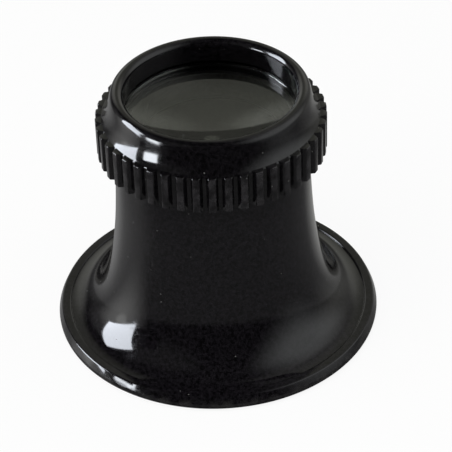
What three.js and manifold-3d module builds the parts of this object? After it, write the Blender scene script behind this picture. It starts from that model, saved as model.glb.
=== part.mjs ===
// A watchmaker's loupe: a flared eyecup, a knurled screw ring that carries the front lens,
// and a second lens that a spacer tube holds in the eyecup's neck.
// Millimetres, +Z up, standing on the eyecup's rim, with the optical axis along Z.
import * as THREE from "three";
import { mergeVertices } from "three/addons/utils/BufferGeometryUtils.js";
import Module from "manifold-3d";

const wasm = await Module();
wasm.setup();

// Eyecup: the rim that rests round the eye, the flare and the barrel
const RIM_RADIUS = 23.0;
const RIM_BEAD = 1.1; // radius of the rolled bead along the rim
const BEAD_RISE = 0.25; // how far the bead stands above the flange
const FOOT_WIDTH = 0.9; // flat ring under the bead
const FOOT_RELIEF = 0.2; // least height of the flange's underside above the foot
const FLANGE_FALL = 0.05; // slope of the flange where it meets the bead
const FLANGE_REACH = 6.6; // length of the flare's handle along the flange
const BARREL_HEIGHT = 28.2; // from the foot to the shoulder under the ring
const BARREL_LENGTH = 6.5; // from that shoulder down to where the flare starts
const BARREL_BULGE = 0.35; // how much wider the barrel is there than at its shoulder
const FLARE_REACH = 5.5; // length of the flare's handle along the barrel
const BARREL_SHOULDER = 0.55; // step from the barrel in to the neck
const WALL = 1.6; // thickness of the flare and the barrel

// Neck and seat of the rear lens
const NECK_HEIGHT = 3.6; // above the barrel's shoulder
const NECK_WALL = 1.05;
const SEAT_LEDGE = 1.4; // thickness of the ledge under the rear lens
const SEAT_RELIEF = 1.0; // height of the cone below the ledge

// Lenses: two plano-convex discs with their curved faces towards each other
const FRONT_CURVE = 60.0; // radius of the front lens's curved face
const REAR_CURVE = 25.0; // radius of the rear lens's curved face
const LENS_GAP = 2.44; // between the tops of the curved faces
const LENS_COVER = 0.45; // how far a seat reaches over a lens's edge
const LENS_CLEARANCE = 0.1; // round each lens and at its faces
const LENS_RADIUS = 12.2; // of the front lens
const LENS_STEP = 0.6; // how much smaller the rear lens is
const FRONT_EDGE = 1.74; // thickness at the front lens's edge
const REAR_EDGE = 1.6; // thickness at the rear lens's edge

// Spacer tube on the rear lens
const SPACER_WALL = 0.9;
const SPACER_CLEARANCE = 0.15;

// Screw ring
const RING_GAP = 0.3; // between the ring and what it screws down on
const THREAD_ROOM = 0.55; // radial room of the screw thread between neck and ring
const RING_WALL = 1.8; // from the thread to the bottom of the grooves
const RING_CHAMFER = 0.3; // lead-in at the ring's mouth for the thread
const SNAP_LEDGE = 0.5; // thickness of the bead that the front lens snaps past
const SNAP_CATCH = 0.25; // how far that bead reaches under the lens
const MOUTH_DEPTH = 3.38; // from the lip's top down to the front lens
const LIP_INNER_ROUND = 0.9;
const LIP_OUTER_ROUND = 1.0;
const LIP_LEAN = 20; // degrees from upright at which the lip runs into the shoulder
const LIP_REACH = 1.05; // how far the shoulder follows the lip's lean
const SHOULDER_LEAN = 40; // degrees from upright at which the shoulder flares out at its foot
const SHOULDER_REACH = 1.65; // how far up the shoulder keeps that lean
const SHOULDER_DROP = 0.25; // how far the shoulder's foot reaches down past the ribs' tops

// Ribs of the ring's grip
const RIB_COUNT = 46;
const RIB_SHARE = 0.5; // part of each pitch that is rib
const RIB_DEPTH = 0.68; // from the bottom of the grooves to the ribs' tops
const RIB_HEIGHT = 5.4;
const RIB_ROUND = 0.2; // radius of a rib's long edges
const RIB_ROOT = 0.5; // how far a rib reaches into the ring's wall
const RIB_PHASE = -0.7; // turn of the first rib from the front, in degrees

// Facets
const CUP_SIDES = 64;
const RING_SIDES = 2 * RIB_COUNT;
const LENS_SIDES = 60;
const FLARE_STEPS = 12;
const BEAD_STEPS = 4;
const LIP_STEPS = 4;
const SHOULDER_STEPS = 7;
const CURVE_STEPS = 6;
const RIB_STEPS = 2;

// Radii that follow from the lenses outwards
const rearLensRadius = LENS_RADIUS - LENS_STEP;
const mouthRadius = LENS_RADIUS - LENS_COVER;
const frontCellRadius = LENS_RADIUS + LENS_CLEARANCE;
const snapRadius = LENS_RADIUS - SNAP_CATCH;
const rearCellRadius = rearLensRadius + LENS_CLEARANCE;
const apertureRadius = rearLensRadius - LENS_COVER;
const neckRadius = rearCellRadius + NECK_WALL;
const barrelTopRadius = neckRadius + BARREL_SHOULDER;
const barrelBaseRadius = barrelTopRadius + BARREL_BULGE;
const threadRadius = neckRadius + THREAD_ROOM;
const grooveRadius = threadRadius + RING_WALL;
const ribRadius = grooveRadius + RIB_DEPTH;
const spacerRadius = rearCellRadius - SPACER_CLEARANCE;
const spacerBore = spacerRadius - SPACER_WALL;

// Heights that follow from the foot upwards, then from the front lens down to the rear one
const flangeHeight = 2 * RIM_BEAD - BEAD_RISE;
const flareHeight = BARREL_HEIGHT - BARREL_LENGTH;
const neckTop = BARREL_HEIGHT + NECK_HEIGHT;
const ringFoot = BARREL_HEIGHT + RING_GAP;
const snapFoot = neckTop + RING_GAP;
const snapTop = snapFoot + SNAP_LEDGE;
const frontBow = sag(FRONT_CURVE, LENS_RADIUS);
const snapDrop = frontBow - sag(FRONT_CURVE, snapRadius); // of the lens's curve inside its edge
const frontRim = snapTop + LENS_CLEARANCE + snapDrop; // lower edge of the front lens
const frontFace = frontRim + FRONT_EDGE; // flat face of the front lens
const cellTop = frontFace + LENS_CLEARANCE;
const ringTop = frontFace + MOUTH_DEPTH;
const rearTop = frontRim - frontBow - LENS_GAP; // top of the rear lens's curve
const rearRim = rearTop - sag(REAR_CURVE, rearLensRadius);
const rearFace = rearRim - REAR_EDGE; // flat face of the rear lens
const seat = rearFace - LENS_CLEARANCE;
const ledgeFoot = seat - SEAT_LEDGE;

// Depth of a curved lens face between its middle and a distance from it.
function sag(curve, reach) {
  return curve - Math.sqrt(curve ** 2 - reach ** 2);
}

const at = (radius, height) => new THREE.Vector2(radius, height);

// Points along a round corner of a profile, between two angles in degrees.
function corner(centre, radius, from, to, steps) {
  const angle = (degrees) => THREE.MathUtils.degToRad(degrees);
  const arc = new THREE.ArcCurve(centre.x, centre.y, radius, angle(from), angle(to), to < from);
  return arc.getPoints(steps);
}

// A solid of revolution about Z from a profile of radius and height.
function revolve(profile, sides) {
  return new THREE.LatheGeometry(profile, sides).rotateX(Math.PI / 2);
}

// A ring from a profile that closes on itself.
function revolveRing(profile, sides) {
  return revolve([...profile, profile[0]], sides);
}

function solidOf(geometry) {
  const bare = geometry.clone();
  bare.deleteAttribute("normal");
  bare.deleteAttribute("uv");
  const merged = mergeVertices(bare);
  return new wasm.Manifold(
    new wasm.Mesh({
      numProp: 3,
      vertProperties: merged.attributes.position.array,
      triVerts: new Uint32Array(merged.index.array),
    }),
  );
}

function geometryOf(solid) {
  const { vertProperties, triVerts } = solid.getMesh();
  const geometry = new THREE.BufferGeometry();
  geometry.setAttribute("position", new THREE.BufferAttribute(vertProperties, 3));
  geometry.setIndex(new THREE.BufferAttribute(triVerts, 1));
  geometry.computeVertexNormals();
  return geometry;
}

// Eyecup: one moulded shell, from the bead over the flare and barrel to the neck, and back inside
function eyecup() {
  const bead = at(RIM_RADIUS - RIM_BEAD, RIM_BEAD);
  const creaseTurn = Math.asin((flangeHeight - RIM_BEAD) / RIM_BEAD);
  const crease = at(bead.x - RIM_BEAD * Math.cos(creaseTurn), flangeHeight);
  const creaseAngle = 180 - THREE.MathUtils.radToDeg(creaseTurn);
  const barrelBase = at(barrelBaseRadius, flareHeight);
  const barrelTop = at(barrelTopRadius, BARREL_HEIGHT);
  const alongBarrel = barrelBase.clone().sub(barrelTop).setLength(FLARE_REACH);
  const alongFlange = at(-1, FLANGE_FALL).setLength(FLANGE_REACH);
  const flare = new THREE.CubicBezierCurve(
    crease,
    crease.clone().add(alongFlange),
    barrelBase.clone().add(alongBarrel),
    barrelBase,
  );
  const barrel = new THREE.LineCurve(barrelBase, barrelTop);
  const footInside = bead.x - FOOT_WIDTH;

  // The inside keeps one wall's thickness from the outside, from the seat's cone down to the foot.
  const inward = (curve, t) => {
    const along = curve.getTangent(t);
    return curve.getPoint(t).add(at(-along.y, along.x).multiplyScalar(WALL));
  };
  const inside = [];
  for (let step = FLARE_STEPS; step >= 0; step -= 1) {
    inside.push(inward(flare, step / FLARE_STEPS));
  }
  const coneFoot = at(inward(barrel, 0).x, ledgeFoot - SEAT_RELIEF);
  const reaches = ({ x, y }) => y < coneFoot.y && y > FOOT_RELIEF && x < footInside - FOOT_RELIEF;

  return revolveRing(
    [
      ...corner(bead, RIM_BEAD, -90, 0, BEAD_STEPS),
      ...corner(bead, RIM_BEAD, 0, creaseAngle, BEAD_STEPS).slice(1),
      ...flare.getPoints(FLARE_STEPS).slice(1),
      barrelTop,
      at(neckRadius, BARREL_HEIGHT),
      at(neckRadius, neckTop),
      at(rearCellRadius, neckTop),
      at(rearCellRadius, seat),
      at(apertureRadius, seat),
      at(apertureRadius, ledgeFoot),
      coneFoot,
      ...inside.filter(reaches),
      at(footInside, 0),
    ],
    CUP_SIDES,
  );
}

// Screw ring: lip, flared shoulder and lens cell in one revolved body, with ribs round its grip
function knurledRing() {
  const lipCrest = mouthRadius + LIP_INNER_ROUND;
  const lip = corner(at(lipCrest, ringTop - LIP_OUTER_ROUND), LIP_OUTER_ROUND, LIP_LEAN, 90, LIP_STEPS);
  const shoulderFoot = at(grooveRadius, ringFoot + RIB_HEIGHT - SHOULDER_DROP);
  const lean = (degrees, reach) => {
    const turn = THREE.MathUtils.degToRad(degrees);
    return at(-Math.sin(turn), Math.cos(turn)).multiplyScalar(reach);
  };
  const shoulder = new THREE.CubicBezierCurve(
    shoulderFoot,
    shoulderFoot.clone().add(lean(SHOULDER_LEAN, SHOULDER_REACH)),
    lip[0].clone().sub(lean(LIP_LEAN, LIP_REACH)),
    lip[0],
  );
  const body = revolveRing(
    [
      at(threadRadius + RING_CHAMFER, ringFoot),
      at(grooveRadius, ringFoot),
      ...shoulder.getPoints(SHOULDER_STEPS),
      ...lip.slice(1),
      ...corner(at(lipCrest, ringTop - LIP_INNER_ROUND), LIP_INNER_ROUND, 90, 180, LIP_STEPS).slice(1),
      at(mouthRadius, cellTop),
      at(frontCellRadius, cellTop),
      at(frontCellRadius, snapTop),
      at(snapRadius, snapTop),
      at(snapRadius, snapFoot),
      at(threadRadius, snapFoot),
      at(threadRadius, ringFoot + RING_CHAMFER),
    ],
    RING_SIDES,
  );

  const pitch = (2 * Math.PI) / RIB_COUNT;
  const half = ribRadius * Math.sin((RIB_SHARE * pitch) / 2);
  const section = new THREE.Shape();
  section.moveTo(half, grooveRadius - RIB_ROOT);
  section.lineTo(half, ribRadius - RIB_ROUND);
  section.quadraticCurveTo(half, ribRadius, half - RIB_ROUND, ribRadius);
  section.lineTo(RIB_ROUND - half, ribRadius);
  section.quadraticCurveTo(-half, ribRadius, -half, ribRadius - RIB_ROUND);
  section.lineTo(-half, grooveRadius - RIB_ROOT);
  section.closePath();
  const rib = new THREE.ExtrudeGeometry(section, {
    depth: RIB_HEIGHT,
    bevelEnabled: false,
    curveSegments: RIB_STEPS,
  });
  rib.translate(0, 0, ringFoot);

  // The section lies on +Y, and the first rib faces -Y.
  let ring = solidOf(body);
  for (let index = 0; index < RIB_COUNT; index += 1) {
    const turn = Math.PI + THREE.MathUtils.degToRad(RIB_PHASE) + index * pitch;
    ring = ring.add(solidOf(rib.clone().rotateZ(turn)));
  }
  return geometryOf(ring);
}

// Front lens: flat face outwards, curved face down
function frontLens() {
  const curve = [];
  for (let step = 0; step <= CURVE_STEPS; step += 1) {
    const radius = (LENS_RADIUS * step) / CURVE_STEPS;
    curve.push(at(radius, frontRim - frontBow + sag(FRONT_CURVE, radius)));
  }
  return revolve([...curve, at(LENS_RADIUS, frontFace), at(0, frontFace)], LENS_SIDES);
}

// Rear lens: curved face up, flat face towards the eye
function rearLens() {
  const curve = [];
  for (let step = CURVE_STEPS; step >= 0; step -= 1) {
    const radius = (rearLensRadius * step) / CURVE_STEPS;
    curve.push(at(radius, rearTop - sag(REAR_CURVE, radius)));
  }
  return revolve([at(0, rearFace), at(rearLensRadius, rearFace), ...curve], LENS_SIDES);
}

// Spacer tube: its bore's lower edge sits on the rear lens's curve, its top is level with the neck
function lensSpacer() {
  const foot = rearTop - sag(REAR_CURVE, spacerBore) + SPACER_CLEARANCE;
  return revolveRing(
    [
      at(spacerBore, foot),
      at(spacerRadius, foot),
      at(spacerRadius, neckTop),
      at(spacerBore, neckTop),
    ],
    LENS_SIDES,
  );
}

const gloss = { color: 0x0d0c0d, roughness: 0.16, metalness: 0 };
const satin = { color: 0x0b0b0b, roughness: 0.55, metalness: 0 };
const glass = { color: 0xdde2da, roughness: 0.03, metalness: 0, transparent: true, opacity: 0.35 };

const loupe = new THREE.Group();

function addPiece(name, geometry, finish) {
  const mesh = new THREE.Mesh(geometry, new THREE.MeshStandardMaterial(finish));
  mesh.name = name;
  loupe.add(mesh);
}

addPiece("eyecup", eyecup(), gloss);
addPiece("rear_lens", rearLens(), glass);
addPiece("lens_spacer", lensSpacer(), satin);
addPiece("front_lens", frontLens(), glass);
addPiece("knurled_ring", knurledRing(), gloss);

export default loupe;
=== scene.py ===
"""Looks of a watchmaker's loupe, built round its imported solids.

Sizes are in millimetres in the classes below and become metres in the meshes.
The optical axis is Z, and the loupe stands on the rim of its eyecup.
"""

import logging
import math
from collections.abc import Callable, Sequence
from dataclasses import dataclass
from enum import Enum
from itertools import pairwise

import bpy
from mathutils import Matrix, Vector


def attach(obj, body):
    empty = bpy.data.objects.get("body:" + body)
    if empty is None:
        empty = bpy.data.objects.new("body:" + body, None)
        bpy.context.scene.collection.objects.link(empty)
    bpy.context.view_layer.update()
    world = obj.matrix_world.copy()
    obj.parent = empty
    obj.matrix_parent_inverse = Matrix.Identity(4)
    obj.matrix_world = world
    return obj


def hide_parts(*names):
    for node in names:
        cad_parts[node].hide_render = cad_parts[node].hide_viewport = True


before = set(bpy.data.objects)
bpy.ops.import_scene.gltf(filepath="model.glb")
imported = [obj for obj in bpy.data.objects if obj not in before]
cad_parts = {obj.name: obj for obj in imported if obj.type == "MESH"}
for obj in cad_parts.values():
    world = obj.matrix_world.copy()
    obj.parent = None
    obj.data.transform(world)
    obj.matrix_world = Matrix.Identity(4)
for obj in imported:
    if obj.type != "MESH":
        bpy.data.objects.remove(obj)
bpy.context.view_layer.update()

MM = 0.001
MERGE_DISTANCE = 1e-7
TOUCH = 0.01
SMOOTH_ANGLE = math.radians(28)
ORIGIN = (0, 0, 0)
AXIS = (0, 0, 1)
log = logging.getLogger("loupe")

Span = tuple[float, float]
Triple = tuple[float, float, float]
Colour = tuple[float, float, float, float]
Points = Sequence[Vector]
Piece = bpy.types.Object
Socket = bpy.types.NodeSocket
WHITE: Colour = (1.0, 1.0, 1.0, 1.0)


class Body(Enum):
    """The bodies that pieces ride on."""

    CUP = "cup"
    LENS_CELL = "lens_cell"
    SCREW_RING = "screw_ring"


class Slot(Enum):
    """The record's material slots."""

    GLOSS = "gloss_black"
    RING = "ring_black"
    INNER = "inner_black"
    GLASS = "lens_glass"


# Profiles


def at(radius: float, height: float) -> Vector:
    """A point of a profile, by radius and height."""
    return Vector((radius, height))


def leaning(degrees: float) -> Vector:
    """The upward direction of a profile, leant towards the axis."""
    return at(-math.sin(math.radians(degrees)), math.cos(math.radians(degrees)))


def arc(centre: Vector, radius: float, start: float, end: float, steps: int) -> Points:
    """Points along a round part of a profile.

    Args:
        centre: Middle of the round.
        radius: Its radius.
        start: First angle in degrees, from the outward direction towards up.
        end: Last angle in degrees.
        steps: Number of straight pieces.

    Returns:
        The points, both ends included.
    """
    turns = [math.radians(start + (end - start) * i / steps) for i in range(steps + 1)]
    return [centre + radius * Vector((math.cos(t), math.sin(t))) for t in turns]


def bezier(controls: Points, steps: int) -> Points:
    """Points along a Bezier curve of any degree.

    Args:
        controls: The curve's control points.
        steps: Number of straight pieces.

    Returns:
        The points in order, both ends included.
    """
    points = []
    for i in range(steps + 1):
        layer = [c.copy() for c in controls]
        while len(layer) > 1:
            layer = [a.lerp(b, i / steps) for a, b in pairwise(layer)]
        points.append(layer[0])
    return points


def sag(curve: float, reach: float) -> float:
    """Depth of a round face of a given radius, between its middle and a distance from it."""
    return curve - math.sqrt(curve**2 - reach**2)


def eased(before: Vector, corner: Vector, after: Vector, size: float, steps: int = 5) -> Points:
    """A corner of a profile with its edge taken off in a round.

    Args:
        before: The point that the profile comes from.
        corner: The sharp corner.
        after: The point that the profile goes to.
        size: Distance from the corner at which the round starts and ends.
        steps: Number of straight pieces in the round.

    Returns:
        The points of the round.
    """
    start = corner + (before - corner).normalized() * size
    end = corner + (after - corner).normalized() * size
    return bezier((start, corner, end), steps)


def eased_path(points: Points, sizes: Sequence[float]) -> Points:
    """A chain of straight lines with rounded corners.

    Args:
        points: The corners, from the first to the last point.
        sizes: The size of the round at each inner corner, or 0 for a sharp one.

    Returns:
        The points of the chain, both ends included.
    """
    path = [points[0]]
    for before, corner, after, size in zip(points, points[1:], points[2:], sizes):
        path += eased(before, corner, after, size) if size else [corner]
    return [*path, points[-1]]


# Modelling


def clear_selection() -> None:
    """Leaves edit mode and deselects every object."""
    if bpy.context.mode != "OBJECT":
        bpy.ops.object.mode_set(mode="OBJECT")
    bpy.ops.object.select_all(action="DESELECT")


def focus(piece: Piece) -> None:
    """Makes one object the only selected one, and the active one.

    Args:
        piece: The object.
    """
    clear_selection()
    piece.select_set(True)
    bpy.context.view_layer.objects.active = piece


def edit_all(piece: Piece) -> None:
    """Opens one object in edit mode with all of it selected.

    Args:
        piece: The object.
    """
    focus(piece)
    bpy.ops.object.mode_set(mode="EDIT")
    bpy.ops.mesh.select_all(action="SELECT")


def close_up() -> None:
    """Merges doubles and turns the faces outwards in edit mode, and leaves it."""
    bpy.ops.mesh.select_all(action="SELECT")
    bpy.ops.mesh.remove_doubles(threshold=MERGE_DISTANCE)
    bpy.ops.mesh.normals_make_consistent(inside=False)
    bpy.ops.object.mode_set(mode="OBJECT")


def new_plane(name: str, size: float) -> Piece:
    """Adds a square plane as the start of a piece.

    Args:
        name: Name of the new object and its mesh.
        size: Length of its sides in metres.

    Returns:
        The plane, which is the only object selected.
    """
    clear_selection()
    bpy.ops.mesh.primitive_plane_add(size=size)
    plane = bpy.context.active_object
    plane.name = plane.data.name = name
    return plane


def chain(name: str, points: Points) -> Piece:
    """Extrudes a chain of edges from one vertex, in the plane of X and Z.

    Args:
        name: Name of the new object.
        points: Radius and height of each vertex in millimetres.

    Returns:
        The object, in edit mode with all of it selected.
    """
    piece = new_plane(name, MM)
    edit_all(piece)
    bpy.ops.mesh.merge(type="CENTER")
    bpy.ops.transform.translate(value=(points[0].x * MM, 0, points[0].y * MM))
    for here, there in pairwise(points):
        step = (there - here) * MM
        bpy.ops.mesh.extrude_region_move(TRANSFORM_OT_translate={"value": (step.x, 0, step.y)})
    bpy.ops.mesh.select_all(action="SELECT")
    return piece


def turned(name: str, points: Points, sides: int) -> Piece:
    """Spins a profile about the optical axis into a closed body.

    Args:
        name: Name of the new object.
        points: The profile. It closes on itself or on the axis.
        sides: Number of facets round the axis.

    Returns:
        The new object.
    """
    piece = chain(name, points)
    bpy.ops.mesh.spin(steps=sides, angle=math.tau, center=ORIGIN, axis=AXIS)
    close_up()
    return piece


def select_edges(piece: Piece, test: Callable[[Vector, Vector], bool]) -> None:
    """Opens an object in edit mode with only some of its edges selected.

    Args:
        piece: The object.
        test: Says for an edge's two ends, in millimetres, whether it is selected.
    """
    edit_all(piece)
    bpy.ops.mesh.select_mode(type="EDGE")
    bpy.ops.mesh.select_all(action="DESELECT")
    bpy.ops.object.mode_set(mode="OBJECT")
    mesh = piece.data
    for edge in mesh.edges:
        ends = [mesh.vertices[i].co / MM for i in edge.vertices]
        edge.select = test(*ends)
    bpy.ops.object.mode_set(mode="EDIT")


def unite(piece: Piece, other: Piece) -> None:
    """Joins another closed body to a piece, and removes the other.

    Args:
        piece: The piece that grows.
        other: The body that becomes part of it.
    """
    focus(piece)
    union = piece.modifiers.new("union", "BOOLEAN")
    union.operation = "UNION"
    union.solver = "EXACT"
    union.object = other
    bpy.ops.object.modifier_apply(modifier=union.name)
    bpy.data.objects.remove(other)


def smooth(piece: Piece) -> None:
    """Shades a piece smooth, with its sharp edges kept."""
    focus(piece)
    bpy.ops.object.shade_smooth_by_angle(angle=SMOOTH_ANGLE)


@dataclass(frozen=True)
class Thread:
    """A screw thread's ridge, wound right-handed round the axis."""

    name: str
    wall: float
    crest: float
    foot: float
    turns: float
    pitch: float = 1.5
    root_width: float = 0.78
    crest_width: float = 0.22
    bury: float = 0.12
    steps_per_turn: int = 72

    def build(self) -> Piece:
        """Winds the ridge, with both ends run out into the wall.

        Returns:
            The ridge as a closed body, sunk a little into the wall.
        """
        outward = 1 if self.crest > self.wall else -1
        root = self.wall - outward * self.bury
        middle = self.foot + self.root_width / 2
        section = [
            at(root, middle - self.root_width / 2),
            at(self.crest, middle - self.crest_width / 2),
            at(self.crest, middle + self.crest_width / 2),
            at(root, middle + self.root_width / 2),
        ]
        ridge = chain(self.name, [*section, section[0]])
        bpy.ops.mesh.remove_doubles(threshold=MERGE_DISTANCE)
        bpy.ops.object.mode_set(mode="OBJECT")
        winding = ridge.modifiers.new("winding", "SCREW")
        winding.axis = "Z"
        winding.angle = math.tau * self.turns
        winding.screw_offset = self.pitch * self.turns * MM
        winding.steps = winding.render_steps = round(self.steps_per_turn * self.turns)
        bpy.ops.object.modifier_apply(modifier=winding.name)
        edit_all(ridge)
        bpy.ops.mesh.select_all(action="DESELECT")
        bpy.ops.mesh.select_mode(type="VERT")
        bpy.ops.mesh.select_non_manifold()
        sink = (root - outward * self.bury) / self.crest
        bpy.ops.transform.resize(value=(sink, sink, 1), center_override=ORIGIN)
        bpy.ops.mesh.select_all(action="SELECT")
        bpy.ops.mesh.fill_holes(sides=len(section))
        close_up()
        return ridge


# Finishes


@dataclass(frozen=True)
class Noise:
    """A noise pattern.

    It has the spots for each metre, the number and strength of its finer layers, the step that
    cuts spots out of it, and its weight in a relief.
    """

    scale: float
    detail: float
    roughness: float = 0.5
    step: Span = (0.0, 1.0)
    weight: float = 1.0


@dataclass(frozen=True)
class Scatter:
    """Rare spots in the middle of cells.

    It has the cells for each metre, the step of a cell's random draw that gives it a spot, a
    spot's soft edge in shares of a cell, and the colour channel that the draw is read from.
    """

    scale: float
    draw: Span
    edge: Span
    channel: int


class NodeSheet:
    """Adds and joins the nodes of one tree."""

    # The mix node has its own sockets for each kind of data, and these are the colours'.
    MIX_INPUTS = (0, 6, 7)
    MIX_RESULT = 2

    def __init__(self, tree: bpy.types.NodeTree) -> None:
        """Starts from an empty tree."""
        self.tree = tree
        tree.nodes.clear()

    def feed(self, socket: Socket, value: object) -> None:
        """Gives an input its value.

        Args:
            socket: The input.
            value: A plain value, or the socket that feeds it.
        """
        if isinstance(value, Socket):
            self.tree.links.new(value, socket)
        else:
            socket.default_value = value

    def add(self, kind: str, inputs: dict | None = None, **settings: object) -> bpy.types.Node:
        """Adds a node.

        Args:
            kind: The node's type.
            inputs: For each input, by name or number, a value or the socket that feeds it.
            settings: The node's own settings.

        Returns:
            The new node.
        """
        node = self.tree.nodes.new(kind)
        for key, value in settings.items():
            setattr(node, key, value)
        for key, value in (inputs or {}).items():
            self.feed(node.inputs[key], value)
        return node

    def math(self, operation: str, *values: object) -> Socket:
        """A number worked out from others, as a socket."""
        return self.add("ShaderNodeMath", dict(enumerate(values)), operation=operation).outputs[0]

    def ramp(self, value: Socket, low: float, high: float, to: Span = (0.0, 1.0)) -> Socket:
        """A soft step of a value.

        Args:
            value: The socket that is stepped.
            low: Where the step starts.
            high: Where it ends.
            to: The results at both ends.

        Returns:
            The result's socket.
        """
        ends = {"From Min": low, "From Max": high, "To Min": to[0], "To Max": to[1]}
        inputs = {"Value": value, **ends}
        return self.add("ShaderNodeMapRange", inputs, interpolation_type="SMOOTHSTEP").outputs[0]

    def noise(self, where: Socket, pattern: Noise) -> Socket:
        """A noise pattern.

        Args:
            where: The coordinates' socket.
            pattern: Its scale and layers.

        Returns:
            The socket of the pattern's value.
        """
        layers = {"Detail": pattern.detail, "Roughness": pattern.roughness}
        inputs = {"Vector": where, "Scale": pattern.scale, **layers}
        return self.add("ShaderNodeTexNoise", inputs).outputs[0]

    def spots(self, where: Socket, pattern: Noise) -> Socket:
        """The spots that a noise pattern's step cuts out, as a socket."""
        return self.ramp(self.noise(where, pattern), *pattern.step)

    def scattered(self, where: Socket, pattern: Scatter) -> Socket:
        """Rare spots.

        Args:
            where: The coordinates' socket.
            pattern: Their number and size.

        Returns:
            The socket of a mask, 1 inside a spot.
        """
        inputs = {"Vector": where, "Scale": pattern.scale}
        cells = self.add("ShaderNodeTexVoronoi", inputs, feature="F1").outputs
        draws = self.add("ShaderNodeSeparateColor", {0: cells["Color"]}).outputs
        chosen = self.ramp(draws[pattern.channel], *pattern.draw)
        return self.math("MULTIPLY", self.ramp(cells["Distance"], *pattern.edge), chosen)

    def mapped(self, where: Socket, turn: Triple, stretch: Triple) -> Socket:
        """Turned and stretched coordinates, as a socket."""
        inputs = {"Vector": where, "Rotation": turn, "Scale": stretch}
        return self.add("ShaderNodeMapping", inputs).outputs[0]

    def mix(self, factor: Socket, first: object, second: object) -> Socket:
        """A mix of two colours.

        Args:
            factor: The socket of the second colour's share.
            first: The first colour or its socket.
            second: The second colour or its socket.

        Returns:
            The mixed colour's socket.
        """
        inputs = dict(zip(self.MIX_INPUTS, (factor, first, second), strict=True))
        node = self.add("ShaderNodeMix", inputs, data_type="RGBA")
        return node.outputs[self.MIX_RESULT]

    def surface(self, shader: bpy.types.Node) -> None:
        """Makes a shader the surface of the material."""
        self.add("ShaderNodeOutputMaterial", {"Surface": shader.outputs[0]})


def new_material(name: str) -> tuple[bpy.types.Material, NodeSheet]:
    """Starts a material with no nodes.

    Args:
        name: The material's name.

    Returns:
        The material, and the sheet of its nodes.
    """
    material = bpy.data.materials.new(name)
    material.use_nodes = True
    return material, NodeSheet(material.node_tree)


@dataclass(frozen=True)
class Effect:
    """A pattern on object coordinates that materials share as one node group."""

    name: str
    outputs: tuple[str, ...]
    fill: Callable[[NodeSheet, Socket], Sequence[Socket]]

    def group(self) -> bpy.types.NodeTree:
        """Finds the group, or builds it the first time.

        Returns:
            The group.
        """
        if self.name in bpy.data.node_groups:
            return bpy.data.node_groups[self.name]
        group = bpy.data.node_groups.new(self.name, "ShaderNodeTree")
        group.interface.new_socket("Vector", in_out="INPUT", socket_type="NodeSocketVector")
        for output in self.outputs:
            group.interface.new_socket(output, in_out="OUTPUT", socket_type="NodeSocketFloat")
        sheet = NodeSheet(group)
        where = sheet.add("NodeGroupInput").outputs["Vector"]
        sheet.add("NodeGroupOutput", dict(zip(self.outputs, self.fill(sheet, where), strict=True)))
        return group

    def place(self, sheet: NodeSheet, where: Socket) -> bpy.types.bpy_prop_collection:
        """Puts the effect into a material and gives its outputs."""
        return sheet.add("ShaderNodeGroup", {"Vector": where}, node_tree=self.group()).outputs


def turned_place(sheet: NodeSheet, where: Socket) -> Sequence[Socket]:
    """Finds a point's place on a turned piece.

    Args:
        sheet: The sheet that the nodes go into.
        where: The coordinates' socket.

    Returns:
        Sockets of the radius from the axis and the height, both in millimetres.
    """
    axes = sheet.add("ShaderNodeSeparateXYZ", {0: where}).outputs
    squares = [sheet.math("POWER", axis, 2.0) for axis in axes[:2]]
    radius = sheet.math("SQRT", sheet.math("ADD", *squares))
    return sheet.math("DIVIDE", radius, MM), sheet.math("DIVIDE", axes[2], MM)


# The turning marks run along radius and height, so their spots are for each millimetre.
RIPPLE = Noise(420, 1.0)
FINE_RIPPLE = Noise(2600, 1.0, weight=0.12)
TURNING_MARKS = Noise(3.2, 2.0, weight=0.2)
MARKS_DRIFT = Noise(130, 1.0)
DULL_PATCHES = Noise(190, 4.0, step=(0.42, 0.68))
BLOOM = Noise(2100, 3.0, step=(0.3, 0.7), roughness=0.7)


def moulded_skin(sheet: NodeSheet, where: Socket) -> Sequence[Socket]:
    """Makes the skin that a polished mould leaves.

    Args:
        sheet: The sheet that the nodes go into.
        where: The coordinates' socket.

    Returns:
        Sockets of the ripple with its turning marks, the patches of duller gloss, and the bloom.
    """
    fine = sheet.math("MULTIPLY", sheet.noise(where, FINE_RIPPLE), FINE_RIPPLE.weight)
    height = sheet.math("ADD", sheet.noise(where, RIPPLE), fine)
    radius, rise = turned_place(sheet, where)
    drift = sheet.noise(where, MARKS_DRIFT)
    track = sheet.add("ShaderNodeCombineXYZ", {0: radius, 1: rise, 2: drift}).outputs[0]
    marks = sheet.math("MULTIPLY", sheet.noise(track, TURNING_MARKS), TURNING_MARKS.weight)
    height = sheet.math("ADD", height, marks)
    return height, sheet.spots(where, DULL_PATCHES), sheet.spots(where, BLOOM)


# A hair is where a stretched noise passes its middle value.
HAIRS = Noise(1500, 1.0, step=(0.006, 0.0))
HAIR_MIDDLE = 0.5
HAIR_TURNS = (0.4, 1.3, 2.5)
HAIR_TILT = 0.6
HAIR_STRETCH = (1.0, 0.03, 1.0)
SCRATCHED_AREAS = Noise(260, 2.0, step=(0.52, 0.66))
DUST = Scatter(900.0, draw=(0.86, 0.9), edge=(0.11, 0.05), channel=0)
NICKS = Scatter(520.0, draw=(0.9, 0.93), edge=(0.17, 0.04), channel=1)
NICK_TURN = (0.5, 0.3, 0.4)
NICK_STRETCH = (1.0, 1.0, 0.5)


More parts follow.
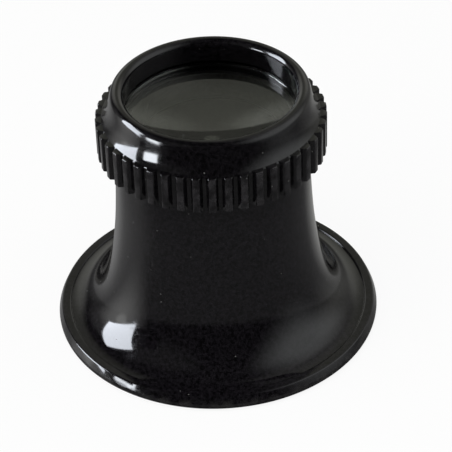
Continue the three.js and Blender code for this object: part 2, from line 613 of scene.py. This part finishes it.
def handling(sheet: NodeSheet, where: Socket) -> Sequence[Socket]:
    """Makes the marks that handling leaves.

    Args:
        sheet: The sheet that the nodes go into.
        where: The coordinates' socket.

    Returns:
        Sockets of the hairline scratches, the specks of dust and the small nicks.
    """
    hairs = []
    for turn in HAIR_TURNS:
        grain = sheet.mapped(where, (turn, HAIR_TILT * turn, turn), HAIR_STRETCH)
        offset = sheet.math("SUBTRACT", sheet.noise(grain, HAIRS), HAIR_MIDDLE)
        hairs.append(sheet.ramp(sheet.math("ABSOLUTE", offset), *HAIRS.step))
    all_hairs = sheet.math("MAXIMUM", sheet.math("MAXIMUM", *hairs[:2]), hairs[2])
    scratches = sheet.math("MULTIPLY", all_hairs, sheet.spots(where, SCRATCHED_AREAS))
    nicks = sheet.scattered(sheet.mapped(where, NICK_TURN, NICK_STRETCH), NICKS)
    return scratches, sheet.scattered(where, DUST), nicks


TURNED_PLACE = Effect("turned_place", ("Radius", "Height"), turned_place)
MOULDED_SKIN = Effect("moulded_skin", ("Ripple", "Patches", "Bloom"), moulded_skin)
HANDLING = Effect("handling", ("Scratches", "Specks", "Nicks"), handling)

RUBBED_SPOTS = Noise(700, 3.0, step=(0.35, 0.7))
SMEARS = Noise(240, 3.0, step=(0.5, 0.8))


@dataclass(frozen=True)
class Wear:
    """Where hands rub a moulding: a band of radius and a band of height, in millimetres."""

    radius: Span
    height: Span


@dataclass(frozen=True)
class MouldedPlastic:
    """Black plastic from a polished mould, with ripple, scratches, dust and worn edges."""

    name: str
    colour: Colour
    worn_colour: Colour
    roughness: float
    dull_roughness: float
    ripple: float
    wear: Wear
    bloom: float = 0.8
    bore: Span = (0.1, 0.0)
    bore_roughness: float = 0.11
    worn_roughness: float = 0.16
    scratch_roughness: float = 0.14
    dust_roughness: float = 0.4
    scratch_depth: float = 0.2
    nick_depth: float = 6.0
    dust_colour: Colour = (0.10, 0.10, 0.095, 1.0)
    specular: float = 0.5
    index: float = 1.5

    def shade(self, share: float) -> Colour:
        """The colour at a share of its strength."""
        red, green, blue, alpha = self.colour
        return red * share, green * share, blue * share, alpha

    def material(self) -> bpy.types.Material:
        """Builds the material.

        Returns:
            The new material.
        """
        material, sheet = new_material(self.name)
        where = sheet.add("ShaderNodeTexCoord").outputs["Object"]
        place = TURNED_PLACE.place(sheet, where)
        skin = MOULDED_SKIN.place(sheet, where)
        marks = HANDLING.place(sheet, where)
        round_band = sheet.ramp(place["Radius"], *self.wear.radius)
        rubbed = sheet.math("MULTIPLY", round_band, sheet.ramp(place["Height"], *self.wear.height))
        worn = sheet.math("MULTIPLY", rubbed, sheet.spots(where, RUBBED_SPOTS))
        dark, pale = self.shade(1 - self.bloom), self.shade(1 + self.bloom)
        colour = sheet.mix(worn, sheet.mix(skin["Bloom"], dark, pale), self.worn_colour)
        colour = sheet.mix(marks["Specks"], colour, self.dust_colour)
        rough = sheet.ramp(skin["Patches"], 0.0, 1.0, (self.roughness, self.dull_roughness))
        bore = sheet.ramp(place["Radius"], *self.bore, (0.0, self.bore_roughness))
        rough = sheet.math("MAXIMUM", rough, bore)
        rough = sheet.math("MULTIPLY_ADD", worn, self.worn_roughness, rough)
        rough = sheet.math("MULTIPLY_ADD", marks["Scratches"], self.scratch_roughness, rough)
        rough = sheet.math("MULTIPLY_ADD", marks["Specks"], self.dust_roughness, rough)
        height = sheet.math("MULTIPLY_ADD", marks["Scratches"], -self.scratch_depth, skin["Ripple"])
        height = sheet.math("MULTIPLY_ADD", marks["Nicks"], -self.nick_depth, height)
        relief = {"Height": height, "Strength": 1.0, "Distance": self.ripple * MM}
        shader = sheet.add(
            "ShaderNodeBsdfPrincipled",
            {
                "Base Color": colour,
                "Roughness": rough,
                "Normal": sheet.add("ShaderNodeBump", relief).outputs[0],
                "Specular IOR Level": self.specular,
                "IOR": self.index,
            },
        )
        sheet.surface(shader)
        return material


@dataclass(frozen=True)
class LensGlass:
    """Clear polished glass with faint smears."""

    name: str
    colour: Colour = (0.955, 0.975, 0.94, 1.0)
    index: float = 1.52
    smear: float = 0.025

    def material(self) -> bpy.types.Material:
        """Builds the material.

        Returns:
            The new material.
        """
        material, sheet = new_material(self.name)
        where = sheet.add("ShaderNodeTexCoord").outputs["Object"]
        smears = sheet.ramp(sheet.noise(where, SMEARS), *SMEARS.step, (0.0, self.smear))
        shader = sheet.add(
            "ShaderNodeBsdfPrincipled",
            {
                "Base Color": self.colour,
                "Roughness": smears,
                "IOR": self.index,
                "Transmission Weight": 1.0,
            },
        )
        sheet.surface(shader)
        return material


CUP_PLASTIC = MouldedPlastic(
    name="cup_plastic",
    colour=(0.0046, 0.0040, 0.0050, 1.0),
    worn_colour=(0.018, 0.017, 0.017, 1.0),
    roughness=0.07,
    dull_roughness=0.12,
    ripple=0.004,
    wear=Wear(radius=(22.6, 23.0), height=(2.4, 1.2)),
)
RING_PLASTIC = MouldedPlastic(
    name="ring_plastic",
    colour=(0.0034, 0.0030, 0.0036, 1.0),
    worn_colour=(0.02, 0.0185, 0.0205, 1.0),
    roughness=0.08,
    dull_roughness=0.14,
    ripple=0.004,
    wear=Wear(radius=(15.6, 15.78), height=(34.3, 33.8)),
    bore=(12.1, 11.85),
)
SPACER_PLASTIC = MouldedPlastic(
    name="spacer_plastic",
    colour=(0.010, 0.010, 0.010, 1.0),
    worn_colour=(0.02, 0.02, 0.02, 1.0),
    roughness=0.5,
    dull_roughness=0.65,
    ripple=0.01,
    wear=Wear(radius=(11.4, 11.55), height=(31.7, 31.8)),
)
LENS_GLASS = LensGlass(name="lens_glass")


def hand_over(piece: Piece, node: str, body: Body, finish: bpy.types.Material) -> None:
    """Dresses a piece and sets it in its node's place.

    Args:
        piece: The finished piece.
        node: The solid that it stands for.
        body: The body that it rides on.
        finish: Its material.
    """
    smooth(piece)
    piece.data.materials.clear()
    piece.data.materials.append(finish)
    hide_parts(node)
    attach(piece, body.value)
    log.info("%s: %d faces, on %s", piece.name, len(piece.data.polygons), body.value)


# Pieces


@dataclass
class Eyecup:
    """The flared cup: bead, flange, flare, barrel and neck in one shell."""

    rim: float = 23.0
    bead: float = 1.1
    bead_rise: float = 0.25
    bead_round: float = 0.9
    bead_lean: float = 24.5
    bead_corner: float = 0.25
    bead_step: float = 0.3
    crease_round: float = 0.1
    foot: float = 0.9
    foot_round: float = 0.15
    flange_fall: float = 0.05
    flange_reach: float = 6.6
    height: float = 28.2
    barrel: float = 6.5
    barrel_base: float = 13.65
    barrel_top: float = 13.3
    flare_reach: float = 5.5
    wall: float = 1.6
    neck: float = 12.75
    neck_top: float = 31.8
    neck_root: float = 0.12
    neck_lead: float = 0.3
    cell: float = 11.7
    seat: float = 24.504
    aperture: float = 11.15
    ledge: float = 1.4
    ledge_edge: float = 0.1
    relief: float = 1.0
    relief_round: float = 0.3
    edge: float = 0.16
    clear_of_floor: float = 0.25
    clear_of_barrel: float = 0.2
    clear_of_foot: float = 0.3
    sides: int = 180
    bead_steps: int = 18
    corner_steps: int = 8
    flare_steps: int = 56
    flare_start: int = 3
    thread: Thread = Thread("neck_thread", wall=12.75, crest=13.06, foot=28.75, turns=1.6)

    def rim_profile(self, crease: Vector) -> Points:
        """The rim, from its foot up the leaning wall and over the flat top.

        Args:
            crease: Where the rim's inner step meets the flange.

        Returns:
            The points, from the outer edge of the foot to the crease.
        """
        top = 2 * self.bead
        turn = math.asin(1 - self.bead_rise / self.bead_step)
        step = at(crease.x + self.bead_step * math.cos(turn), top - self.bead_step)
        lean = math.radians(self.bead_lean)
        low = at(self.rim - self.bead_round, self.bead_round)
        corner = at(0, top - self.bead_corner)
        narrower = self.bead_round - self.bead_corner
        wall_rise = corner.y - low.y - narrower * math.sin(lean)
        corner.x = low.x + narrower * math.cos(lean) - wall_rise * math.tan(lean)
        return [
            *arc(low, self.bead_round, -90, self.bead_lean, self.bead_steps),
            *arc(corner, self.bead_corner, self.bead_lean, 90, self.corner_steps),
            *arc(step, self.bead_step, 90, 180 - math.degrees(turn), self.corner_steps),
        ]

    def inner_flare(self, flare: Points, foot: Vector, base: Vector) -> Points:
        """The inner side of the flare, a wall's thickness behind the outer side.

        Args:
            flare: The outer side, from the flange up.
            foot: The inner edge of the foot.
            base: Where the flare runs into the barrel.

        Returns:
            The points, from the barrel down to the foot.
        """
        inside = []
        for before, here, after in zip(flare, flare[1:], flare[2:]):
            along = (after - before).normalized()
            inside.append(here + at(-along.y, along.x) * self.wall)
        highest, widest = base.y - self.clear_of_barrel, foot.x - self.clear_of_foot
        inside.reverse()
        return [p for p in inside if self.clear_of_floor < p.y < highest and p.x < widest]

    def profile(self) -> Points:
        """The shell's closed profile, from the foot up the outside and back down the inside.

        Returns:
            Radius and height of each point.
        """
        bead = at(self.rim - self.bead, self.bead)
        flange = 2 * self.bead - self.bead_rise
        crease = at(bead.x - math.sqrt(self.bead**2 - (flange - self.bead) ** 2), flange)
        base = at(self.barrel_base, self.height - self.barrel)
        top = at(self.barrel_top, self.height)
        along_flange = at(-1, self.flange_fall).normalized() * self.flange_reach
        along_barrel = (base - top).normalized() * self.flare_reach
        handles = (crease, crease + along_flange, base + along_barrel, base)
        flare = bezier(handles, self.flare_steps)
        rim = self.rim_profile(crease)
        # The round in the crease takes the place of the flare's first points.
        open_flare = flare[self.flare_start :]
        in_crease = eased(rim[-2], crease, open_flare[0], self.crease_round)
        outside = [*rim[:-1], *in_crease, *open_flare]
        ledge_foot = self.seat - self.ledge
        cone = at(base.x - self.wall, ledge_foot - self.relief)
        upper = eased_path(
            [
                base,
                top,
                at(self.neck, self.height),
                at(self.neck, self.neck_top),
                at(self.cell, self.neck_top),
                at(self.cell, self.seat),
                at(self.aperture, self.seat),
                at(self.aperture, ledge_foot),
                cone,
                at(cone.x, base.y),
            ],
            [
                *(self.edge, self.neck_root, self.neck_lead, self.edge),
                *(0, self.ledge_edge, self.ledge_edge, self.relief_round),
            ],
        )
        foot_inside = at(bead.x - self.foot, 0)
        lower = self.inner_flare(flare, foot_inside, base)
        foot = eased(lower[-1], foot_inside, rim[0], self.foot_round)
        return [*outside, *upper[1:-1], *lower, *foot, rim[0]]

    def build(self) -> None:
        """Turns the shell, winds its thread on the neck, and dresses it."""
        shell = turned("eyecup_shell", self.profile(), self.sides)
        unite(shell, self.thread.build())
        hand_over(shell, "eyecup", Body.CUP, CUP_PLASTIC.material())


@dataclass
class ScrewRing:
    """The ring with its lip, flared shoulder, ribs, lens cell and inner thread."""

    foot: float = 28.5
    bore: float = 13.3
    bore_edge: float = 0.06
    groove: float = 15.1
    groove_edge: float = 0.12
    shoulder_foot: float = 33.65
    shoulder_edge: float = 0.16
    shoulder_lean: float = 40.0
    shoulder_reach: float = 1.65
    lip_crest: float = 12.65
    lip_outer: float = 1.0
    lip_inner: float = 0.9
    lip_lean: float = 20.0
    lip_reach: float = 1.05
    top: float = 37.87
    mouth: float = 11.75
    mouth_edge: float = 0.08
    cell: float = 12.3
    cell_top: float = 34.59
    snap: float = 11.95
    snap_foot: float = 32.1
    snap_top: float = 32.6
    snap_edge: float = 0.14
    chamfer: float = 0.3
    rib_count: int = 46
    rib_radius: float = 15.78
    rib_height: float = 5.4
    rib_lift: float = 0.03
    rib_crest: float = 0.88
    rib_foot: float = 1.54
    rib_edge: float = 0.08
    rib_end: float = 0.12
    rib_root: float = 0.5
    rib_phase: float = -0.7
    bevel_steps: int = 4
    sides: int = 184
    lip_steps: int = 18
    inner_steps: int = 14
    shoulder_steps: int = 32
    shoulder_start: int = 3
    thread: Thread = Thread("ring_thread", wall=13.3, crest=12.98, foot=29.5, turns=1.5)

    def profile(self) -> Points:
        """The ring's closed profile without its ribs.

        Returns:
            Radius and height of each point.
        """
        crest = at(self.lip_crest, self.top - self.lip_outer)
        lip = arc(crest, self.lip_outer, self.lip_lean, 90, self.lip_steps)
        inner_crest = at(self.lip_crest, self.top - self.lip_inner)
        inner = arc(inner_crest, self.lip_inner, 90, 180, self.inner_steps)
        foot = at(self.groove, self.shoulder_foot)
        above_foot = foot + leaning(self.shoulder_lean) * self.shoulder_reach
        below_lip = lip[0] - leaning(self.lip_lean) * self.lip_reach
        shoulder = bezier((foot, above_foot, below_lip, lip[0]), self.shoulder_steps)
        # The round at the shoulder's foot takes the place of the shoulder's first points.
        first, *open_shoulder = shoulder[self.shoulder_start : -1]
        grip = eased_path(
            [at(self.bore + self.chamfer, self.foot), at(self.groove, self.foot), foot, first],
            [self.groove_edge, self.shoulder_edge],
        )
        cell = eased_path(
            [
                inner[-1],
                at(self.mouth, self.cell_top),
                at(self.cell, self.cell_top),
                at(self.cell, self.snap_top),
                at(self.snap, self.snap_top),
                at(self.snap, self.snap_foot),
                at(self.bore, self.snap_foot),
                at(self.bore, self.foot + self.chamfer),
                grip[0],
            ],
            [self.mouth_edge, 0, 0, self.snap_edge, self.snap_edge, 0, self.bore_edge],
        )
        return [*grip, *open_shoulder, *lip, *inner[1:-1], *cell]

    def rib(self) -> Piece:
        """One rib at the front of the grip, with sloping flanks and its edges taken off.

        Returns:
            The rib as a closed body, sunk into the grip.
        """
        root = self.groove - self.rib_root
        spread = (self.rib_foot - self.rib_crest) / (self.rib_radius - self.groove)
        width = self.rib_crest + spread * (self.rib_radius - root)
        foot = self.foot + self.rib_lift
        height = self.rib_height - self.rib_lift
        clear_selection()
        bpy.ops.mesh.primitive_cube_add(size=MM)
        rib = bpy.context.active_object
        rib.name = rib.data.name = "ribs"
        edit_all(rib)
        bpy.ops.transform.resize(value=(width, self.rib_radius - root, height))
        middle = (0, -(self.rib_radius + root) / 2 * MM, (foot + height / 2) * MM)
        bpy.ops.transform.translate(value=middle)
        crest = TOUCH - self.rib_radius
        select_edges(rib, lambda a, b: max(a.y, b.y) < crest)
        bpy.ops.transform.resize(value=(self.rib_crest / width, 1, 1), center_override=ORIGIN)
        bpy.ops.object.mode_set(mode="OBJECT")
        select_edges(rib, lambda a, b: max(a.y, b.y) < crest and abs(a.z - b.z) > TOUCH)
        bpy.ops.mesh.bevel(offset=self.rib_edge * MM, segments=self.bevel_steps, affect="EDGES")
        bpy.ops.object.mode_set(mode="OBJECT")
        past_rounds = self.rib_end - self.rib_radius
        select_edges(rib, lambda a, b: max(a.y, b.y) < past_rounds and abs(a.z - b.z) < TOUCH)
        bpy.ops.mesh.bevel(offset=self.rib_end * MM, segments=self.bevel_steps, affect="EDGES")
        bpy.ops.object.mode_set(mode="OBJECT")
        return rib

    def ribs(self) -> Piece:
        """All the ribs, copied from one round the grip.

        Returns:
            The ribs as one object of closed bodies.
        """
        rib = self.rib()
        rib.data.transform(Matrix.Rotation(math.radians(self.rib_phase), 4, "Z"))
        edit_all(rib)
        copies = self.rib_count - 1
        angle = copies * (math.tau / self.rib_count)
        bpy.ops.mesh.spin(steps=copies, dupli=True, angle=angle, center=ORIGIN, axis=AXIS)
        close_up()
        return rib

    def build(self) -> None:
        """Turns the ring, sets its ribs and thread on it, and dresses it."""
        ring = turned("screw_ring", self.profile(), self.sides)
        unite(ring, self.ribs())
        unite(ring, self.thread.build())
        hand_over(ring, "knurled_ring", Body.SCREW_RING, RING_PLASTIC.material())


@dataclass
class Lenses:
    """The two plano-convex lenses and the tube that keeps them apart."""

    front_curve: float = 60.0
    rear_curve: float = 25.0
    front_radius: float = 12.2
    front_face: float = 34.49
    front_edge: float = 1.738
    rear_radius: float = 11.6
    rear_face: float = 24.604
    rear_edge: float = 1.6
    bevel: float = 0.18
    bow_bevel: float = 0.6
    spacer_outer: float = 11.55
    spacer_bore: float = 10.65
    spacer_top: float = 31.8
    spacer_edge: float = 0.12
    spacer_clearance: float = 0.15
    sides: int = 160
    steps: int = 26

    def disc(self, name: str, radius: float, face: float, edge: float, curve: float) -> Piece:
        """Turns one lens.

        Args:
            name: Name of the piece.
            radius: The lens's radius.
            face: Height of its flat face.
            edge: Thickness at its edge, below zero where the lens is under its flat face.
            curve: Radius of its curved face.

        Returns:
            The lens.
        """
        side = math.copysign(1, edge)
        rim = face + edge
        ground = radius - self.bevel
        bow = []
        for i in range(self.steps + 1):
            reach = ground * i / self.steps
            bow.append(at(reach, rim + side * (sag(curve, radius) - sag(curve, reach))))
        points = [
            *bow,
            at(radius, rim - side * self.bevel * self.bow_bevel),
            at(radius, face + side * self.bevel),
            at(ground, face),
            at(ground / 2, face),
            at(0, face),
        ]
        return turned(name, points, self.sides)

    def spacer(self) -> Piece:
        """Turns the tube, which stands just clear of the rear lens.

        Returns:
            The tube.
        """
        rear_top = self.rear_face + self.rear_edge + sag(self.rear_curve, self.rear_radius)
        foot = rear_top - sag(self.rear_curve, self.spacer_bore) + self.spacer_clearance
        corners = [
            at(self.spacer_bore, foot),
            at(self.spacer_outer, foot),
            at(self.spacer_outer, self.spacer_top),
            at(self.spacer_bore, self.spacer_top),
        ]
        middle = at(self.spacer_bore, (foot + self.spacer_top) / 2)
        path = eased_path([middle, *corners, middle], [self.spacer_edge] * len(corners))
        return turned("spacer_tube", path, self.sides)

    def build(self) -> None:
        """Turns both lenses and the tube, and dresses them."""
        glass = LENS_GLASS.material()
        front = self.disc(
            "front_glass", self.front_radius, self.front_face, -self.front_edge, self.front_curve
        )
        hand_over(front, "front_lens", Body.LENS_CELL, glass)
        rear = self.disc(
            "rear_glass", self.rear_radius, self.rear_face, self.rear_edge, self.rear_curve
        )
        hand_over(rear, "rear_lens", Body.CUP, glass)
        tube = self.spacer()
        hand_over(tube, "lens_spacer", Body.CUP, SPACER_PLASTIC.material())


# Studio

# The point of the loupe that the lights are aimed at, in metres.
HEART = Vector((0, 0, 0.02))


def towards(azimuth: float, elevation: float) -> Vector:
    """The way from the loupe to a place in the studio.

    Args:
        azimuth: Degrees to the right of the camera.
        elevation: Degrees up.

    Returns:
        The way, one metre long.
    """
    turn, climb = math.radians(azimuth), math.radians(elevation)
    level = math.cos(climb)
    return Vector((math.sin(turn) * level, -math.cos(turn) * level, math.sin(climb)))


@dataclass(frozen=True)
class Lamp:
    """A square soft panel that lights the loupe and shows in no reflection, sizes in metres."""

    name: str
    azimuth: float
    elevation: float
    distance: float
    size: float
    radiance: float

    def build(self) -> None:
        """Hangs the panel, aimed at the loupe."""
        light = bpy.data.lights.new(self.name, "AREA")
        light.size = self.size
        light.energy = self.radiance * math.pi * self.size**2
        panel = bpy.data.objects.new(self.name, light)
        bpy.context.scene.collection.objects.link(panel)
        way = towards(self.azimuth, self.elevation)
        panel.location = HEART + way * self.distance
        panel.rotation_euler = (-way).to_track_quat("-Z", "Y").to_euler()
        panel.visible_camera = panel.visible_glossy = panel.visible_transmission = False


@dataclass(frozen=True)
class Pane:
    """A bright window that only reflections show.

    Its corners are in degrees as seen from the loupe: two lower ones, then two upper ones.
    The distance is in metres.
    """

    name: str
    corners: tuple[Span, ...]
    distance: float
    radiance: Colour

    def build(self) -> None:
        """Hangs the pane out of the camera's sight."""
        pane = new_plane(self.name, 1)
        for point, corner in zip(pane.data.vertices, self.corners, strict=True):
            point.co = HEART + towards(*corner) * self.distance
        material, sheet = new_material(self.name)
        sheet.surface(sheet.add("ShaderNodeEmission", {"Color": self.radiance, "Strength": 1.0}))
        pane.data.materials.append(material)
        pane.visible_camera = pane.visible_diffuse = pane.visible_shadow = False


@dataclass(frozen=True)
class DarkCard:
    """A black upright card that faces the loupe, sizes in millimetres."""

    name: str
    azimuth: float
    distance: float
    size: Span
    foot: float
    colour: Colour = (0.005, 0.005, 0.005, 1.0)

    def build(self) -> None:
        """Stands the card up, out of the camera's sight."""
        card = new_plane(self.name, MM)
        edit_all(card)
        bpy.ops.transform.resize(value=(*self.size, 1))
        bpy.ops.object.mode_set(mode="OBJECT")
        stand = Matrix.Rotation(math.radians(90), 4, "X")
        turn = Matrix.Rotation(math.radians(self.azimuth), 4, "Z")
        middle = Vector((0, 0, self.foot + self.size[1] / 2))
        place = towards(self.azimuth, 0) * self.distance + middle
        card.data.transform(Matrix.Translation(place * MM) @ turn @ stand)
        material, sheet = new_material("dark_card")
        sheet.surface(sheet.add("ShaderNodeBsdfDiffuse", {"Color": self.colour}))
        card.data.materials.append(material)
        card.visible_camera = False


@dataclass(frozen=True)
class Floor:
    """A pale floor that the camera sees white, with the loupe's shadow on it.

    Reflections look through it at the room's glow below, except under the cup and just round its
    rim, where a painted shadow turns it black.
    Its size is in metres, and its other lengths are in millimetres.
    """

    size: float = 8.0
    drop: float = 0.02
    colour: Colour = (0.82, 0.82, 0.82, 1.0)
    white_share: float = 0.9
    cup_shade: Span = (20.0, 22.0)
    foot_shade: Span = (22.0, 24.5)

    def build(self) -> None:
        """Lays the floor just below the rim."""
        floor = new_plane("floor", self.size)
        floor.data.transform(Matrix.Translation((0, 0, -self.drop * MM)))
        material, sheet = new_material("pale_floor")
        path = sheet.add("ShaderNodeLightPath").outputs
        mirrored = sheet.math("MAXIMUM", path["Is Glossy Ray"], path["Is Transmission Ray"])
        where = sheet.add("ShaderNodeTexCoord").outputs["Object"]
        radius = TURNED_PLACE.place(sheet, where)["Radius"]
        paper = sheet.add("ShaderNodeBsdfDiffuse", {"Color": self.colour}).outputs[0]
        # Painted shade: the camera's white glow is left off under the cup.
        glow = {"Color": WHITE, "Strength": sheet.ramp(radius, *self.cup_shade)}
        white = sheet.add("ShaderNodeEmission", glow).outputs[0]
        share = sheet.math("MULTIPLY", path["Is Camera Ray"], self.white_share)
        seen = sheet.add("ShaderNodeMixShader", {0: share, 1: paper, 2: white}).outputs[0]
        # Painted shadow: reflections see the floor black under the cup, fading out just past the
        # rim.
        lit = sheet.ramp(radius, *self.foot_shade)
        below = sheet.add("ShaderNodeBsdfTransparent", {"Color": lit}).outputs[0]
        sheet.surface(sheet.add("ShaderNodeMixShader", {0: mirrored, 1: seen, 2: below}))
        floor.data.materials.append(material)


@dataclass(frozen=True)
class Glow:
    """A soft patch of light on the room's walls, in degrees as seen from the loupe."""

    azimuth: float
    elevation: float
    core: float
    reach: float
    radiance: Triple


@dataclass(frozen=True)
class Room:
    """A dim room that only reflections show, with soft patches of light on its walls."""

    dim: Triple = (0.01, 0.01, 0.0105)
    glows: tuple[Glow, ...] = (
        # The floor, as reflections show it.
        Glow(0, -90, 79, 83, (0.14, 0.14, 0.14)),
        # The lit side of the room, at the right.
        Glow(80, 29, 12, 50, (0.99, 1.02, 1.02)),
        Glow(128, 58, 8, 30, (0.33, 0.33, 0.32)),
        Glow(128, 12, 12, 42, (0.33, 0.33, 0.31)),
        # The wall behind, which the lens and the flange mirror.
        Glow(180, 31, 18, 40, (0.31, 0.315, 0.27)),
        Glow(-156, 20, 8, 21, (0.52, 0.52, 0.5)),
        Glow(157, 20, 8, 21, (0.3, 0.3, 0.28)),
        # Low light behind the loupe.
        Glow(158, -28, 8, 30, (0.25, 0.25, 0.24)),
        Glow(-158, -28, 8, 28, (0.07, 0.07, 0.07)),
        Glow(-150, -12, 14, 32, (0.11, 0.11, 0.11)),
        # The side of the windows, at the left.
        Glow(-120, -36, 14, 46, (0.16, 0.16, 0.16)),
        Glow(-112, 14, 10, 26, (0.2, 0.2, 0.2)),
        Glow(-97, -3, 3, 30, (1.2, 1.2, 1.18)),
        Glow(-97, -3, 3, 8, (0.9, 0.92, 0.9)),
        Glow(-52, 34, 12, 36, (0.09, 0.09, 0.09)),
    )

    def build(self) -> None:
        """Paints the room with its glows, and white behind the loupe for the camera."""
        world = bpy.data.worlds.new("room")
        world.use_nodes = True
        sheet = NodeSheet(world.node_tree)
        way = sheet.add("ShaderNodeTexCoord").outputs["Generated"]
        light = self.dim
        for glow in self.glows:
            ends = {0: way, 1: towards(glow.azimuth, glow.elevation)}
            facing = sheet.add("ShaderNodeVectorMath", ends, operation="DOT_PRODUCT")
            angle = sheet.math("ARCCOSINE", facing.outputs["Value"])
            share = sheet.ramp(angle, math.radians(glow.reach), math.radians(glow.core))
            terms = {0: glow.radiance, 1: share, 2: light}
            light = sheet.add("ShaderNodeVectorMath", terms, operation="MULTIPLY_ADD").outputs[0]
        camera_ray = sheet.add("ShaderNodeLightPath").outputs["Is Camera Ray"]
        colour = sheet.mix(camera_ray, light, WHITE)
        shine = sheet.add("ShaderNodeBackground", {"Color": colour, "Strength": 1.0})
        sheet.add("ShaderNodeOutputWorld", {"Surface": shine.outputs[0]})
        bpy.context.scene.world = world


@dataclass(frozen=True)
class Viewpoint:
    """The photograph's view, with lengths in millimetres and turns in radians."""

    focal: float = 165.65
    sensor: float = 36.0
    distance: float = 290.83
    aim_height: float = 20.0
    elevation: float = 0.634376
    roll: float = -0.038167
    yaw: float = 0.005195
    pitch: float = -0.015499
    near: float = 10.0

    def build(self) -> None:
        """Sets the camera up."""
        ahead = Vector((0, math.cos(self.elevation), -math.sin(self.elevation)))
        right = Vector((1, 0, 0))
        up = right.cross(ahead)
        look = (ahead + self.yaw * right + self.pitch * up).normalized()
        right = look.cross(up).normalized()
        up = right.cross(look)
        side = math.cos(self.roll) * right + math.sin(self.roll) * up
        top = math.cos(self.roll) * up - math.sin(self.roll) * right
        place = (Vector((0, 0, self.aim_height)) - ahead * self.distance) * MM
        data = bpy.data.cameras.new("camera")
        data.sensor_width = self.sensor
        data.lens = self.focal
        data.clip_start = self.near * MM
        camera = bpy.data.objects.new("camera", data)
        bpy.context.scene.collection.objects.link(camera)
        turn = Matrix((side, top, -look)).transposed()
        camera.matrix_world = Matrix.Translation(place) @ turn.to_4x4()
        bpy.context.scene.camera = camera


@dataclass
class Studio:
    """Everything round the loupe: floor, room, dark card, windows, lamp and camera."""

    floor: Floor = Floor()
    room: Room = Room()
    card: DarkCard = DarkCard("side_flag", azimuth=-62, distance=71, size=(28, 21), foot=4.5)
    windows: tuple[Pane, ...] = (
        Pane(
            "window",
            corners=((-107, 4), (-79.5, -5.5), (-118, 42), (-80.5, 29)),
            distance=0.63,
            radiance=(14.0, 14.7, 16.0, 1.0),
        ),
        Pane(
            "low_window",
            corners=((-71, -3), (-56, -3), (-71, 15), (-56, 15)),
            distance=0.6,
            radiance=(19.8, 20.7, 22.0, 1.0),
        ),
    )
    key: Lamp = Lamp("key", azimuth=-40, elevation=62, distance=0.7, size=0.9, radiance=2.6)
    viewpoint: Viewpoint = Viewpoint()

    def build(self) -> None:
        """Sets the studio up, with colours shown as they are."""
        for item in (self.floor, self.room, self.card, *self.windows, self.key, self.viewpoint):
            item.build()
        bpy.context.scene.view_settings.view_transform = "Standard"


def main() -> None:
    """Builds the loupe and its studio."""
    logging.basicConfig(level=logging.INFO, format="%(name)s: %(message)s")
    Eyecup().build()
    Lenses().build()
    ScrewRing().build()
    Studio().build()


if __name__ == "__main__":
    main()
